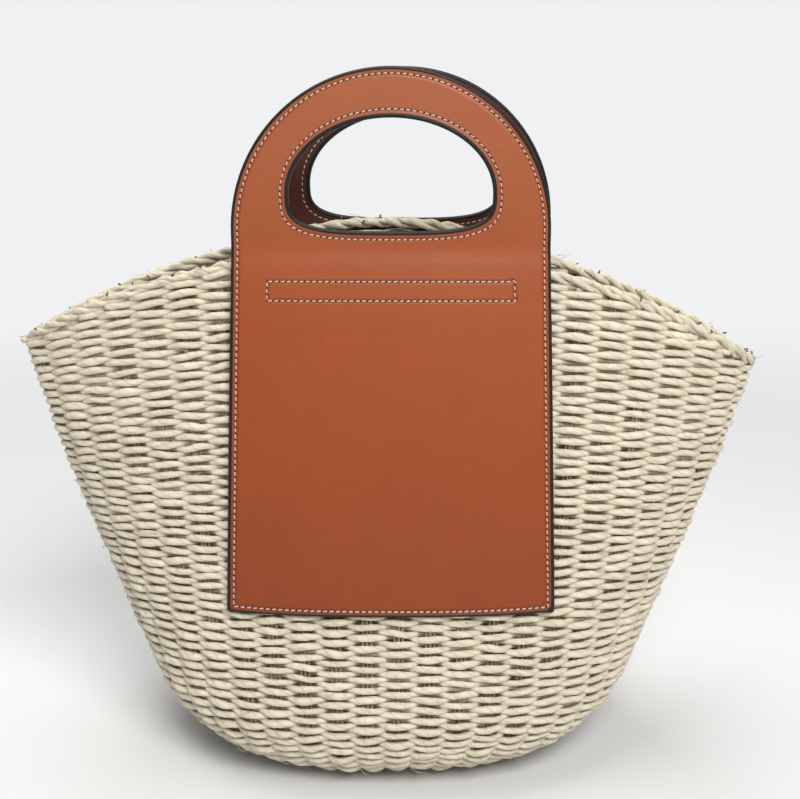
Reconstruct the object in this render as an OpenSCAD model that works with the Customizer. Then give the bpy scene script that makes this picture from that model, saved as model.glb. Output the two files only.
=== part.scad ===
// Woven beach bag: a boat-shaped basket of paper cord with a leather panel and an arched
// leather handle on the front and on the back.
// Millimetres. X runs from tip to tip, the front faces -Y, and the base stands on Z = 0.

/* [Basket] */
// Width across the two tips of the mouth
mouth_w = 430; // [400:5:450]
// Depth of the mouth at its middle, over the outsides of the walls
mouth_gap = 54; // [50:1:70]
// Height of the rim at its middle
rim_h = 303; // [290:1:320]
// How far the tips lie below the middle of the rim
tip_drop = 61; // [45:1:70]
// How much lower the right tip hangs than the left one
tip_sag = 12; // [0:1:14]
// Length of the foot, if the walls ran straight down to the floor
foot_l = 244; // [238:1:262]
// Depth of the foot, if the walls ran straight down to the floor
foot_w = 208; // [190:1:220]
// Radius of the turn from the base into the wall
turn_r = 52; // [45:1:58]
// How far the end walls swell out at half height
belly = 7.5; // [2:0.5:9]
// Thickness of the weave, over its outer and inner floats
weave_t = 8; // [7:0.5:9]
// Number of stakes that the weaving cord passes, always an odd number
stake_n = 45; // [39:2:51]

/* [Leather panels] */
// Width of a panel at its lower edge
panel_foot_w = 181; // [166:1:184]
// Width of a panel at the handle
panel_top_w = 172; // [160:1:174]
// Height of a panel's lower edge above the floor
panel_foot_z = 107; // [95:1:125]
// Thickness of the outer leather
leather_t = 1.4; // [1:0.1:1.8]
// How far the back panel sits to the right of the front one
back_shift = 7; // [0:0.5:10]
// Height of the lower row of the anchor stitching
anchor_z = 275; // [265:1:280]
// Height of the stitched anchor rectangle
anchor_h = 11; // [8:0.5:14]
// Width of the stitched anchor rectangle
anchor_w = 136; // [120:1:145]

/* [Handles] */
// Height of the line where a handle flexes, just above the rim
flex_z = 305; // [304:0.5:308]
// How far a handle leans in towards the other one at rest, in degrees
handle_lean = 2; // [0:0.5:4]
// Straight length of a handle's side before its arch starts
arch_rise = 6; // [5:0.5:12]
// Thickness of the stiffening board inside a handle
core_t = 1.4; // [1:0.1:1.8]
// Thickness of the leather that lines the inside of a handle
lining_t = 1.2; // [1:0.1:1.6]
// Width of the hand hole
hole_w = 110; // [100:1:114]
// Height of the hand hole
hole_h = 60; // [56:1:66]
// Height of the hand hole's lower edge above the flex line
hole_rise = 6.5; // [4:0.5:7]

/* [Thread] */
// Distance from a leather edge to its row of stitching
seam_in = 3.6; // [3:0.1:5]
// Width of a row of stitching
thread_w = 0.9; // [0.6:0.1:1.2]
// How far the thread stands off the leather
thread_t = 0.5; // [0.3:0.1:0.6]

/* [Hidden] */

straw = "#ded2b6";
shaded_straw = "#b3a37c";
tan_leather = "#b4623a";
dark_leather = "#5b2c25";
board = "#8f7f6a";
thread = "#ecd6c6";

// The front and back of a level section follow y = w (1 - |x / l|^sweep)^close.
sweep = 2.7;
close_foot = 0.385;
close_mouth = 0.75;
tip_h = rim_h - tip_drop;

// Rim border, a folded edge as thick as the weave.
border_h = 7;
border_out = 0.4;
border_clear = 0.2;

// Depths inside the wall: outer floats, then the stakes' slot, then inner floats.
float_t = (weave_t - 2) / 2;
slot_clear = 0.3;
foot_inset = 40;
foot_clear = 0.1;
stake_foot_z = 9;
stake_drop = 0.15;

// The wall's rings: angles up the turn, then fractions of the height left above it.
turn_angles = [55, 35, 17, 0];
wall_steps = [0.2, 0.4, 0.6, 0.8, 1];

// The stack of layers in a handle, and the gaps that keep it clear of the weave.
stack_t = leather_t + core_t + lining_t;
weave_gap = 0.8;
foot_gap = 0.6;
flex_gap = 2.4;
tab_margin = 6;
tab_clear = 0.25;
seam_clear = 0.15;
seam_wave = 0.05;
seam_lift = 1.2;
corner_gap = 0.2;
hole_corner = 20;
panel_cols = 12;
panel_rows = 5;
arch_steps = 40;

function side_of(v) = v < 0 ? -1 : 1;
function power(v, e) = side_of(v) * pow(abs(v), e);
function mix(a, b, k) = a + (b - a) * k;

// Half length and half depth of the wall's outside at height z, before the turn.
function half_l(z) =
    let (k = z / tip_h)
    mix(foot_l, mouth_w, k) / 2 + 4 * belly * k * (1 - k);
function half_w(z) = mix(foot_w, mouth_gap, z / rim_h) / 2;
function close_at(z) = mix(close_foot, close_mouth, z / rim_h);
function rim_z(k) = rim_h - tip_drop * k * k - tip_sag / 2 * k;

// A point on the section at angle a, drawn in by inset, with its shape taken at height z.
function section(a, z, inset) =
    [power(cos(a), 2 / sweep) * (half_l(z) - inset),
     power(sin(a), 2 * close_at(z)) * (half_w(z) - inset)];
function tip_fraction(a) = power(cos(a), 2 / sweep);
function raised(p, z) = [p[0], p[1], z];

// Points of the wall at depth d inside its outer face: in the turn, and above it.
function turn_point(a, f, d) =
    let (z = turn_r - (turn_r - d) * sin(f))
    raised(section(a, z, turn_r - (turn_r - d) * cos(f)), z);
function wall_top(a) = rim_z(tip_fraction(a)) - border_h;
function wall_point(a, k, d) =
    let (z = mix(turn_r, wall_top(a), k))
    raised(section(a, z, d), z);
function foot_angle(d) = acos((turn_r - foot_inset) / (turn_r - d));
function slot_angle(d) = asin((turn_r - stake_foot_z) / (turn_r - d));

function angles(n) = [for (i = [0 : n - 1]) 360 * i / n];
function layer(list, first, d) = concat(
    [[for (a = list) turn_point(a, first, d)]],
    [for (f = turn_angles) [for (a = list) turn_point(a, f, d)]],
    [for (k = wall_steps) [for (a = list) wall_point(a, k, d)]]);
function reversed(list) = [for (i = [len(list) - 1 : -1 : 0]) list[i]];

// A closed band of rings: each ring runs once around, and the last ring meets the first.
module ring_band(rings) {
    m = len(rings);
    n = len(rings[0]);
    points = [for (r = rings) for (p = r) p];
    faces = [for (i = [0 : m - 1]) for (j = [0 : n - 1])
        let (i2 = (i + 1) % m, j2 = (j + 1) % n)
        for (f = [[i * n + j, i2 * n + j, i2 * n + j2], [i * n + j, i2 * n + j2, i * n + j2]]) f];
    polyhedron(points, faces, convexity = 6);
}

// A tube closed at both ends, from a list of rings. The second half of a ring runs back
// beside its first half.
module ring_tube(rings) {
    m = len(rings);
    n = len(rings[0]);
    points = [for (r = rings) for (p = r) p];
    sides = [for (i = [0 : m - 2]) for (j = [0 : n - 1])
        let (j2 = (j + 1) % n)
        for (f = [[i * n + j, (i + 1) * n + j, (i + 1) * n + j2], [i * n + j, (i + 1) * n + j2, i * n + j2]]) f];
    ends = [for (j = [0 : n / 2 - 2]) for (f = [[j, j + 1, n - 2 - j, n - 1 - j],
        [for (q = [n - 1 - j, n - 2 - j, j + 1, j]) (m - 1) * n + q]]) f];
    polyhedron(points, concat(sides, ends), convexity = 4);
}

// ---- Basket ----

module base_weave() {
    inset = foot_inset + foot_clear;
    edge_z = turn_r - (turn_r - weave_t) * sin(foot_angle(weave_t));
    outline = [for (a = angles(stake_n)) [section(a, 0, inset)[0], section(a, edge_z, inset)[1]]];
    color(straw) linear_extrude(weave_t) polygon(outline);
}

module wall_weave() {
    list = angles(stake_n);
    slot_out = float_t;
    slot_in = weave_t - float_t;
    outer = layer(list, foot_angle(0), 0);
    outer_slot = layer(list, slot_angle(slot_out), slot_out);
    inner_slot = layer(list, slot_angle(slot_in), slot_in);
    inner = layer(list, foot_angle(weave_t), weave_t);
    color(straw) ring_band(concat(outer, reversed(outer_slot), inner_slot, reversed(inner)));
}

// One stake: a bundle of thin cords in the slot between the outer and inner floats. It is
// bent over one of the wall's corners, so it reaches a share of the way to both neighbours.
module stake(a) {
    share = 0.12;
    near = float_t + slot_clear;
    far = weave_t - float_t - slot_clear;
    step = 360 / stake_n;
    sides = [for (d = [near, far]) [for (r = layer([a - step, a, a + step], slot_angle(d) - 1, d))
        [mix(r[1], r[0], share), r[1], mix(r[1], r[2], share)]]];
    ring_tube([for (i = [0 : len(sides[0]) - 1]) concat(sides[0][i], reversed(sides[1][i]))]);
}

module stakes() {
    color(shaded_straw) translate([0, 0, -stake_drop]) for (a = angles(stake_n)) stake(a);
}

module rim_border() {
    outer = -border_out;
    inner = weave_t + border_out;
    profile = [[outer, border_clear], [outer, 0.5 * border_h], [0.25 * weave_t, 0.9 * border_h],
        [0.5 * weave_t, border_h], [0.75 * weave_t, 0.9 * border_h],
        [inner, 0.5 * border_h], [inner, border_clear]];
    rings = [for (q = profile) [for (a = angles(stake_n)) let (z = wall_top(a) + q[1])
        raised(section(a, z, q[0]), z)]];
    color(straw) ring_band(rings);
}

// ---- Leather on the wall ----

// Depth of the wall's outer face in front of the middle plane.
function wall_y(x, z) = half_w(z) * pow(1 - pow(abs(x) / half_l(z), sweep), close_at(z));

// A panel follows the wall at its foot and is flat across at the flex line.
tab_top_z = flex_z - flex_gap;
function flatness(z) = max(0, (z - anchor_z) / (flex_z - anchor_z));
function panel_y(x, z) = mix(wall_y(x, z), wall_y(0, z), flatness(z));
function panel_gap(z) =
    mix(foot_gap, weave_gap + stack_t - leather_t, min(1, (z - panel_foot_z) / (anchor_z - tab_margin - panel_foot_z)));
function panel_half(z) = mix(panel_foot_w, panel_top_w, (z - panel_foot_z) / (flex_z - panel_foot_z)) / 2;

// The panel's back on a grid of shares of its half width and of heights, and between them. The
// back panel stands a little to one side, so it follows the wall there.
$side_shift = 0;
panel_us = [for (i = [0 : panel_cols]) 2 * i / panel_cols - 1];
panel_zs = concat([for (j = [0 : panel_rows]) mix(panel_foot_z, anchor_z - tab_margin, j / panel_rows)],
    [anchor_z, mix(anchor_z, tab_top_z, 0.5), tab_top_z]);
function corner_y(i, j) =
    let (z = panel_zs[j]) panel_y(panel_us[i] * panel_half(z) + $side_shift, z) + panel_gap(z);
function cell(v, list) = min(len(list) - 2, max([for (i = [0 : len(list) - 1]) if (list[i] <= v + 1e-6) i]));
function back_y(u, z) =
    let (i = cell(u, panel_us), j = cell(z, panel_zs))
    let (s = (u - panel_us[i]) / (panel_us[i + 1] - panel_us[i]))
    let (t = (z - panel_zs[j]) / (panel_zs[j + 1] - panel_zs[j]))
    mix(mix(corner_y(i, j), corner_y(i + 1, j), s), mix(corner_y(i, j + 1), corner_y(i + 1, j + 1), s), t);
function between(v0, v1, list, near) =
    concat([v0], [for (v = list) if (v > v0 + near && v < v1 - near) v], [v1]);

// A leather patch between two edges and two heights, from depth d0 to d1 off the panel's back.
// Each edge is [share of the panel's half width, millimetres added to it]. A wave makes the
// edges of a row of thread run slightly in and out.
module patch(left, right, z0, z1, d0, d1, wave = 0) {
    share = [for (e = [left, right]) e[0] + e[1] / panel_half(z0)];
    inner = between(share[0], share[1], panel_us, 0.01);
    cols = len(inner) - 1;
    zs = between(z0, z1, panel_zs, 0.3);
    rings = [for (j = [0 : len(zs) - 1])
        let (z = zs[j], half = panel_half(z))
        let (us = [for (i = [0 : cols]) i == 0 ? left[0] + left[1] / half
            : i == cols ? right[0] + right[1] / half : inner[i]])
        [for (q = concat([for (i = [0 : cols]) [i, d1]], [for (i = [cols : -1 : 0]) [i, d0]]))
            let (u = us[q[0]])
            [u * half + wave * (j % 2), -back_y(u, z) - q[1], z + wave * (q[0] % 2)]]];
    ring_tube(rings);
}

// Places a piece on the front, or mirrors it to the back and moves it sideways.
module on_side(back) {
    $side_shift = back ? back_shift : 0;
    if (back)
        translate([back_shift, 0, 0]) mirror([0, 1, 0]) children();
    else
        children();
}

module panel() {
    color(tan_leather)
        patch([-1, 0], [1, 0], panel_foot_z, tab_top_z, 0, leather_t);
}

module panel_seam() {
    face = leather_t + seam_clear;
    out = leather_t + thread_t;
    far = seam_in + thread_w;
    foot = panel_foot_z + seam_in;
    color(thread) {
        for (s = [-1, 1])
            patch([s, s < 0 ? seam_in : -far], [s, s < 0 ? far : -seam_in],
                foot, tab_top_z - seam_lift, face, out, seam_wave);
        patch([-1, far + corner_gap], [1, -far - corner_gap], foot, foot + thread_w,
            face, out, seam_wave);
    }
}

module anchor_tab() {
    back = -(stack_t - leather_t);
    color(dark_leather)
        patch([-1, 1], [1, -1], anchor_z - tab_margin, tab_top_z, back, -tab_clear);
}

module anchor_seam() {
    face = leather_t + seam_clear;
    out = leather_t + thread_t;
    half = anchor_w / 2;
    top = anchor_z + anchor_h;
    color(thread) {
        for (z = [anchor_z, top - thread_w])
            patch([0, -half], [0, half], z, z + thread_w, face, out, seam_wave);
        for (x = [-half, half - thread_w])
            patch([0, x], [0, x + thread_w], anchor_z + thread_w + corner_gap,
                top - thread_w - corner_gap, face, out, seam_wave);
    }
}

// ---- Handles ----

// The flex line lies in the middle of the stack's thickness.
flex_y = half_w(flex_z) + weave_gap + stack_t / 2;

// Moves a flat outline from the XY plane to the handle's plane, from depth d0 to d1 of the stack.
// Depth 0 is the lining's face and stack_t the outer leather's face.
module in_stack(d0, d1) {
    translate([0, -flex_y, flex_z]) rotate([90 - handle_lean, 0, 0])
        translate([0, 0, d0 - stack_t / 2]) linear_extrude(d1 - d0) children();
}

module arch_outline(inset, lift) {
    r = panel_top_w / 2 - inset;
    arc = [for (i = [0 : arch_steps]) r * [cos(180 * i / arch_steps), sin(180 * i / arch_steps)]];
    polygon(concat([[r, lift]], [for (p = arc) p + [0, arch_rise]], [[-r, lift]]));
}

// Half an ellipse above, and a flat bottom with round corners below.
module hole_outline(grow) {
    widest = hole_rise + hole_corner;
    half = hole_w / 2 + grow;
    upper = hole_h - hole_corner + grow;
    lower = hole_corner + grow;
    squareness = 3.4;
    crown = [for (i = [0 : arch_steps]) let (a = 180 * i / arch_steps)
        [half * cos(a), widest + upper * sin(a)]];
    bottom = [for (i = [1 : arch_steps - 1]) let (a = 180 + 180 * i / arch_steps)
        [half * power(cos(a), 2 / squareness), widest + lower * power(sin(a), 2 / squareness)]];
    polygon(concat(crown, bottom));
}

module handle_layer(d0, d1) {
    in_stack(d0, d1) difference() {
        arch_outline(0, 0);
        hole_outline(0);
    }
}

module handle_face() {
    color(tan_leather) handle_layer(lining_t + core_t, stack_t);
}

module handle_core() {
    color(board) handle_layer(lining_t, lining_t + core_t);
}

module handle_lining() {
    color(dark_leather) handle_layer(0, lining_t);
}

// Both faces of the stack show a row of thread.
module on_both_faces() {
    in_stack(stack_t, stack_t + thread_t) children();
    in_stack(-thread_t, 0) children();
}

module handle_edge_seam() {
    color(thread) on_both_faces() difference() {
        arch_outline(seam_in, seam_lift);
        arch_outline(seam_in + thread_w, 0);
    }
}

module handle_hole_seam() {
    hole_seam_in = hole_rise - seam_lift - thread_w;
    color(thread) on_both_faces() difference() {
        hole_outline(hole_seam_in + thread_w);
        hole_outline(hole_seam_in);
    }
}

module front_panel() { on_side(false) panel(); }
module front_panel_seam() { on_side(false) panel_seam(); }
module front_anchor_tab() { on_side(false) anchor_tab(); }
module front_anchor_seam() { on_side(false) anchor_seam(); }
module front_handle_face() { on_side(false) handle_face(); }
module front_handle_core() { on_side(false) handle_core(); }
module front_handle_lining() { on_side(false) handle_lining(); }
module front_handle_edge_seam() { on_side(false) handle_edge_seam(); }
module front_handle_hole_seam() { on_side(false) handle_hole_seam(); }
module back_panel() { on_side(true) panel(); }
module back_panel_seam() { on_side(true) panel_seam(); }
module back_anchor_tab() { on_side(true) anchor_tab(); }
module back_anchor_seam() { on_side(true) anchor_seam(); }
module back_handle_face() { on_side(true) handle_face(); }
module back_handle_core() { on_side(true) handle_core(); }
module back_handle_lining() { on_side(true) handle_lining(); }
module back_handle_edge_seam() { on_side(true) handle_edge_seam(); }
module back_handle_hole_seam() { on_side(true) handle_hole_seam(); }

base_weave();
wall_weave();
stakes();
rim_border();
front_panel();
front_panel_seam();
front_anchor_tab();
front_anchor_seam();
front_handle_face();
front_handle_core();
front_handle_lining();
front_handle_edge_seam();
front_handle_hole_seam();
back_panel();
back_panel_seam();
back_anchor_tab();
back_anchor_seam();
back_handle_face();
back_handle_core();
back_handle_lining();
back_handle_edge_seam();
back_handle_hole_seam();
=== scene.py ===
# %% [markdown]
# # A woven beach bag with leather handles
# The bag is a basket of twisted paper cord, woven in one go from the base to the rim. A leather
# panel is fixed to its front and its back, and each panel grows into an arched handle with a
# hand hole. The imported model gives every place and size, and this lesson makes the surfaces.
# %% Load the fixed frame
import math
import bmesh
import bpy
import numpy as np
from mathutils import Matrix, Vector


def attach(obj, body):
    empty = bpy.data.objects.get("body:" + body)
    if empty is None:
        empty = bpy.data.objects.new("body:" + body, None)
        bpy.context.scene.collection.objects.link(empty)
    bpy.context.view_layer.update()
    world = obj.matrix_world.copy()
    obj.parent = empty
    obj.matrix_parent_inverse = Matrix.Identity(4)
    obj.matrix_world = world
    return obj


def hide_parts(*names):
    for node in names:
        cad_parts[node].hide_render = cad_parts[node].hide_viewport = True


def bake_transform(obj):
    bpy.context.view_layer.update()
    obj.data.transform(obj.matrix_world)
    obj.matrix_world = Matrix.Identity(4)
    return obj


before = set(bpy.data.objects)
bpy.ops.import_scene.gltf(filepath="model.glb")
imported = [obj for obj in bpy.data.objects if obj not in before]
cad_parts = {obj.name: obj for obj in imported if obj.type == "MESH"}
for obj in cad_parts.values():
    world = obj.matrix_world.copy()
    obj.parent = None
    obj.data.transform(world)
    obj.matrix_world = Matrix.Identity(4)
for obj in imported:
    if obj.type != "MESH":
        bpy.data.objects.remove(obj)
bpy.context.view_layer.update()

MM = 0.001

# %% [markdown]
# ## Camera
# A product picture of a bag is taken from a little above the rim and a couple of steps back,
# with a slightly long lens, so the arched handles stay round and the base still shows its
# curve. The camera comes first, because everything is judged through it.
# %% Camera
camera_data = bpy.data.cameras.new("camera")
camera_data.lens = 50.4
camera_data.sensor_width = 36
camera = bpy.data.objects.new("camera", camera_data)
bpy.context.scene.collection.objects.link(camera)
camera.location = (0.0078, -0.6335, 0.3952)
camera.rotation_euler = (math.radians(90 - 16.4), 0, math.radians(0.27))
bpy.context.scene.camera = camera
print("camera stands", round(-camera.location.y, 3), "m in front")

# %% [markdown]
# ## Floor
# The floor is a pale sweep with no horizon. A wide disc is lit near the bag and fades into the
# colour of the background further out, which hides its edge from every side.
# %% Floor
BACKDROP = (0.868, 0.878, 0.892, 1)
bpy.context.scene.view_settings.view_transform = "Standard"


def mesh_object(name, bm, material, smooth=True):
    for face in bm.faces:
        face.smooth = smooth
    mesh = bpy.data.meshes.new(name)
    bm.to_mesh(mesh)
    bm.free()
    mesh.materials.append(material)
    made = bpy.data.objects.new(name, mesh)
    bpy.context.scene.collection.objects.link(made)
    return made


def new_material(name):
    material = bpy.data.materials.new(name)
    material.use_nodes = True
    tree = material.node_tree
    return material, tree, tree.nodes["Principled BSDF"]


def feed(tree, socket, value):
    """Gives a socket a number, a colour, or a link from another node's output."""
    if isinstance(value, (int, float)):
        socket.default_value = value
    elif isinstance(value, tuple):
        socket.default_value = (*value, 1)
    elif value is not None:
        tree.links.new(value, socket)


def ranged(tree, value, start, end, first=0.0, last=1.0, smooth=False):
    """Maps a value from start..end to first..last, held at both ends."""
    node = tree.nodes.new("ShaderNodeMapRange")
    node.interpolation_type = "SMOOTHSTEP" if smooth else "LINEAR"
    labels = ("Value", "From Min", "From Max", "To Min", "To Max")
    for label, given in zip(labels, (value, start, end, first, last)):
        feed(tree, node.inputs[label], given)
    return node.outputs["Result"]


FLOOR_RADIUS, LIT_TO, FADED_BY = 12, 0.35, 1.3  # metres from the bag
floor_paint, tree, shader = new_material("studio_floor")
shader.inputs["Base Color"].default_value = (0.72, 0.725, 0.73, 1)
shader.inputs["Roughness"].default_value = 0.9
shader.inputs["Specular IOR Level"].default_value = 0.1
glow = tree.nodes.new("ShaderNodeEmission")
glow.inputs["Color"].default_value = BACKDROP
fade = tree.nodes.new("ShaderNodeMixShader")
place = tree.nodes.new("ShaderNodeTexCoord")
reach = tree.nodes.new("ShaderNodeVectorMath")
reach.operation = "LENGTH"
tree.links.new(place.outputs["Object"], reach.inputs[0])
feed(tree, fade.inputs[0], ranged(tree, reach.outputs["Value"], LIT_TO, FADED_BY, smooth=True))
tree.links.new(shader.outputs[0], fade.inputs[1])
tree.links.new(glow.outputs[0], fade.inputs[2])
tree.links.new(fade.outputs[0], tree.nodes["Material Output"].inputs["Surface"])
bm = bmesh.new()
bmesh.ops.create_circle(bm, cap_ends=True, segments=96, radius=FLOOR_RADIUS)
floor = mesh_object("studio_floor", bm, floor_paint, smooth=False)
print("floor radius in metres:", FLOOR_RADIUS)

# %% [markdown]
# ## Light
# The world gives a soft fill, and its picture for the camera is the plain backdrop. A large
# softbox stands high in front, a little to the right, and models the floats of the weave. A
# second one above and behind lights the rim and the handles' edges.
# %% Lights
world = bpy.data.worlds.new("studio")
world.use_nodes = True
bpy.context.scene.world = world
sky = world.node_tree
ambient = sky.nodes["Background"]
ambient.inputs["Color"].default_value = (0.93, 0.96, 1.0, 1)
ambient.inputs["Strength"].default_value = 0.26
seen = sky.nodes.new("ShaderNodeBackground")
seen.inputs["Color"].default_value = BACKDROP
choose = sky.nodes.new("ShaderNodeMixShader")
path = sky.nodes.new("ShaderNodeLightPath")
sky.links.new(path.outputs["Is Camera Ray"], choose.inputs[0])
sky.links.new(ambient.outputs[0], choose.inputs[1])
sky.links.new(seen.outputs[0], choose.inputs[2])
sky.links.new(choose.outputs[0], sky.nodes["World Output"].inputs["Surface"])


def soft_light(name, place, target, size, watts):
    data = bpy.data.lights.new(name, "AREA")
    data.shape, data.size, data.size_y, data.energy = "RECTANGLE", size[0], size[1], watts
    data.color = (1.0, 0.985, 0.96)
    light = bpy.data.objects.new(name, data)
    light.location = place
    light.rotation_euler = (Vector(target) - Vector(place)).to_track_quat("-Z", "Y").to_euler()
    bpy.context.scene.collection.objects.link(light)


soft_light("front_softbox", (0.50, -1.25, 1.55), (0, 0, 0.2), (1.0, 0.8), 33)
soft_light("top_softbox", (-0.25, 0.25, 1.6), (0, 0, 0.15), (1.4, 1.2), 19)

# %% [markdown]
# ## The basket's shape
# The level sections of the basket are rounded at the base and pointed at the mouth, like a
# boat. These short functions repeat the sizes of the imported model: how long and how deep a
# section is, how the rim falls towards the tips, and how the wall turns into the base.
# %% Sections of the basket
MOUTH_W, MOUTH_GAP, RIM_H, TIP_DROP, TIP_SAG = 430, 54, 303, 61, 12
FOOT_L, FOOT_W, TURN_R, BELLY, WEAVE_T = 244, 208, 52, 7.5, 8
SWEEP, CLOSE_FOOT, CLOSE_MOUTH, BORDER_H = 2.7, 0.385, 0.75, 7
BACK_RISE = 11  # the soft back wall stands this much higher in its middle
TIP_DIP = 34  # the top rows of the weave bow down this much at the tips
BASE_LIFT, TURN_LIFT, UPRIGHT = 0.35, 0.95, 0.97
TIP_H = RIM_H - TIP_DROP


def half_length(z):
    k = z / TIP_H
    return (FOOT_L + (MOUTH_W - FOOT_L) * k) / 2 + 4 * BELLY * k * (1 - k)


def half_depth(z):
    return (FOOT_W + (MOUTH_GAP - FOOT_W) * z / RIM_H) / 2


def closing(z):
    return CLOSE_FOOT + (CLOSE_MOUTH - CLOSE_FOOT) * z / RIM_H


def rim_height(k):
    return RIM_H - TIP_DROP * k * k - TIP_SAG / 2 * k


def rim_top(k, y):
    return rim_height(k) + BACK_RISE * (y > 0) * np.clip(1 - (k / 0.55) ** 2, 0, 1) ** 2


def signed_power(v, e):
    return np.sign(v) * np.abs(v) ** e


def section(a, z, inset):
    x = signed_power(np.cos(a), 2 / SWEEP) * (half_length(z) - inset)
    y = signed_power(np.sin(a), 2 * closing(z)) * (half_depth(z) - inset)
    return x, y


# Angles that share out the way round in equal lengths, at a few heights.
levels = np.linspace(0, RIM_H, 31)
fine = np.linspace(0, 2 * np.pi, 2881)
share = np.linspace(0, 1, 721)
angle_table, girth_table = [], []
for level in levels:
    x, y = section(fine, level, 0)
    run = np.r_[0, np.cumsum(np.hypot(np.diff(x), np.diff(y)))]
    angle_table.append(np.interp(share * run[-1], run, fine))
    girth_table.append(run[-1])
angle_table = np.array(angle_table)


def angle_at(u, z):
    """The section angle at a share u of the way round, at height z."""
    row = np.clip(z / RIM_H * (len(levels) - 1), 0, len(levels) - 1.001)
    col = (u % 1.0) * (len(share) - 1)
    i, j = row.astype(int), np.minimum(col.astype(int), len(share) - 2)
    s, t = row - i, col - j
    low = angle_table[i, j] * (1 - t) + angle_table[i, j + 1] * t
    high = angle_table[i + 1, j] * (1 - t) + angle_table[i + 1, j + 1] * t
    return low * (1 - s) + high * s


def wall_point(u, climb, depth):
    """A point of the weave: share u round, climb mm up from the start of the turn, depth mm in."""
    bend = TURN_R - WEAVE_T / 2
    turn = np.clip(np.pi / 2 - climb / bend, 0, np.pi / 2)
    on_base, on_wall = climb < 0, climb > bend * np.pi / 2
    h = TURN_R + (climb - bend * np.pi / 2) * UPRIGHT
    bowl = TURN_R - (TURN_R - depth) * np.sin(turn)
    z = np.where(on_wall, h, bowl + BASE_LIFT + TURN_LIFT * np.sin(turn) ** 4)
    inset = np.where(on_wall, depth, TURN_R - (TURN_R - depth) * np.cos(turn))
    inset = np.where(on_base, TURN_R - climb, inset)
    a = angle_at(u, z)
    k = signed_power(np.cos(a), 2 / SWEEP)
    dip = TIP_DIP * (np.maximum(h - TURN_R, 0) / (RIM_H - TURN_R)) ** 1.25
    z = z - np.where(on_wall, dip, 0) * k * k
    x, y = section(a, z, inset)
    return np.c_[x, y, z], k


print("girth at foot and rim, mm:", round(girth_table[0]), round(girth_table[-1]))

# %% [markdown]
# ## Shader groups that several finishes share
# A node group is made once and placed in each material with its own numbers. The first one
# gives a twisted cord: it turns the point on the cord's section with the length along the cord,
# so grooves and fibres wind round it.
# %% Twisted cord group
def new_group(name, inputs, outputs):
    group = bpy.data.node_groups.new(name, "ShaderNodeTree")
    for label, kind in inputs:
        group.interface.new_socket(name=label, in_out="INPUT", socket_type=kind)
    for label in outputs:
        group.interface.new_socket(name=label, in_out="OUTPUT", socket_type="NodeSocketFloat")
    return group, group.nodes.new("NodeGroupInput"), group.nodes.new("NodeGroupOutput")


def math_node(tree, operation, a, b=None, c=None):
    node = tree.nodes.new("ShaderNodeMath")
    node.operation = operation
    for socket, value in zip(node.inputs, (a, b, c)):
        feed(tree, socket, value)
    return node.outputs[0]


def noise_node(tree, vector, scale, detail=2.0, rough=0.5):
    node = tree.nodes.new("ShaderNodeTexNoise")
    node.inputs["Scale"].default_value = scale
    node.inputs["Detail"].default_value = detail
    node.inputs["Roughness"].default_value = rough
    tree.links.new(vector, node.inputs["Vector"])
    return node.outputs["Fac"]


FLOAT, VECTOR = "NodeSocketFloat", "NodeSocketVector"
twist_group, given, result = new_group(
    "twisted_cord", [("Strand", VECTOR), ("Turn per mm", FLOAT)], ["Height", "Groove", "Fibre"])
part = twist_group.nodes.new("ShaderNodeSeparateXYZ")
twist_group.links.new(given.outputs["Strand"], part.inputs[0])
wobble = noise_node(twist_group, given.outputs["Strand"], 0.22, 1)
spin = math_node(twist_group, "MULTIPLY_ADD", wobble, 2.4,
                 math_node(twist_group, "MULTIPLY", part.outputs[2], given.outputs["Turn per mm"]))
flat = twist_group.nodes.new("ShaderNodeCombineXYZ")
twist_group.links.new(part.outputs[0], flat.inputs[0])
twist_group.links.new(part.outputs[1], flat.inputs[1])
turned = twist_group.nodes.new("ShaderNodeVectorRotate")
turned.rotation_type = "Z_AXIS"
twist_group.links.new(flat.outputs[0], turned.inputs["Vector"])
twist_group.links.new(spin, turned.inputs["Angle"])
wound = twist_group.nodes.new("ShaderNodeSeparateXYZ")
twist_group.links.new(turned.outputs[0], wound.inputs[0])
fibres = twist_group.nodes.new("ShaderNodeCombineXYZ")
twist_group.links.new(wound.outputs[0], fibres.inputs[0])
twist_group.links.new(wound.outputs[1], fibres.inputs[1])
twist_group.links.new(math_node(twist_group, "MULTIPLY", part.outputs[2], 0.17), fibres.inputs[2])
crease = noise_node(twist_group, fibres.outputs[0], 3.4, 3, 0.66)
hair = noise_node(twist_group, fibres.outputs[0], 9, 2, 0.6)
lobe = math_node(twist_group, "POWER", math_node(twist_group, "ABSOLUTE", wound.outputs[0]), 0.55)
height = math_node(twist_group, "MULTIPLY_ADD", lobe, 0.22, math_node(
    twist_group, "MULTIPLY_ADD", crease, 1.0, math_node(twist_group, "MULTIPLY", hair, 0.3)))
twist_group.links.new(height, result.inputs["Height"])
groove = math_node(twist_group, "SUBTRACT", 1.0, lobe)
twist_group.links.new(groove, result.inputs["Groove"])
twist_group.links.new(crease, result.inputs["Fibre"])
print("group:", twist_group.name)

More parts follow.
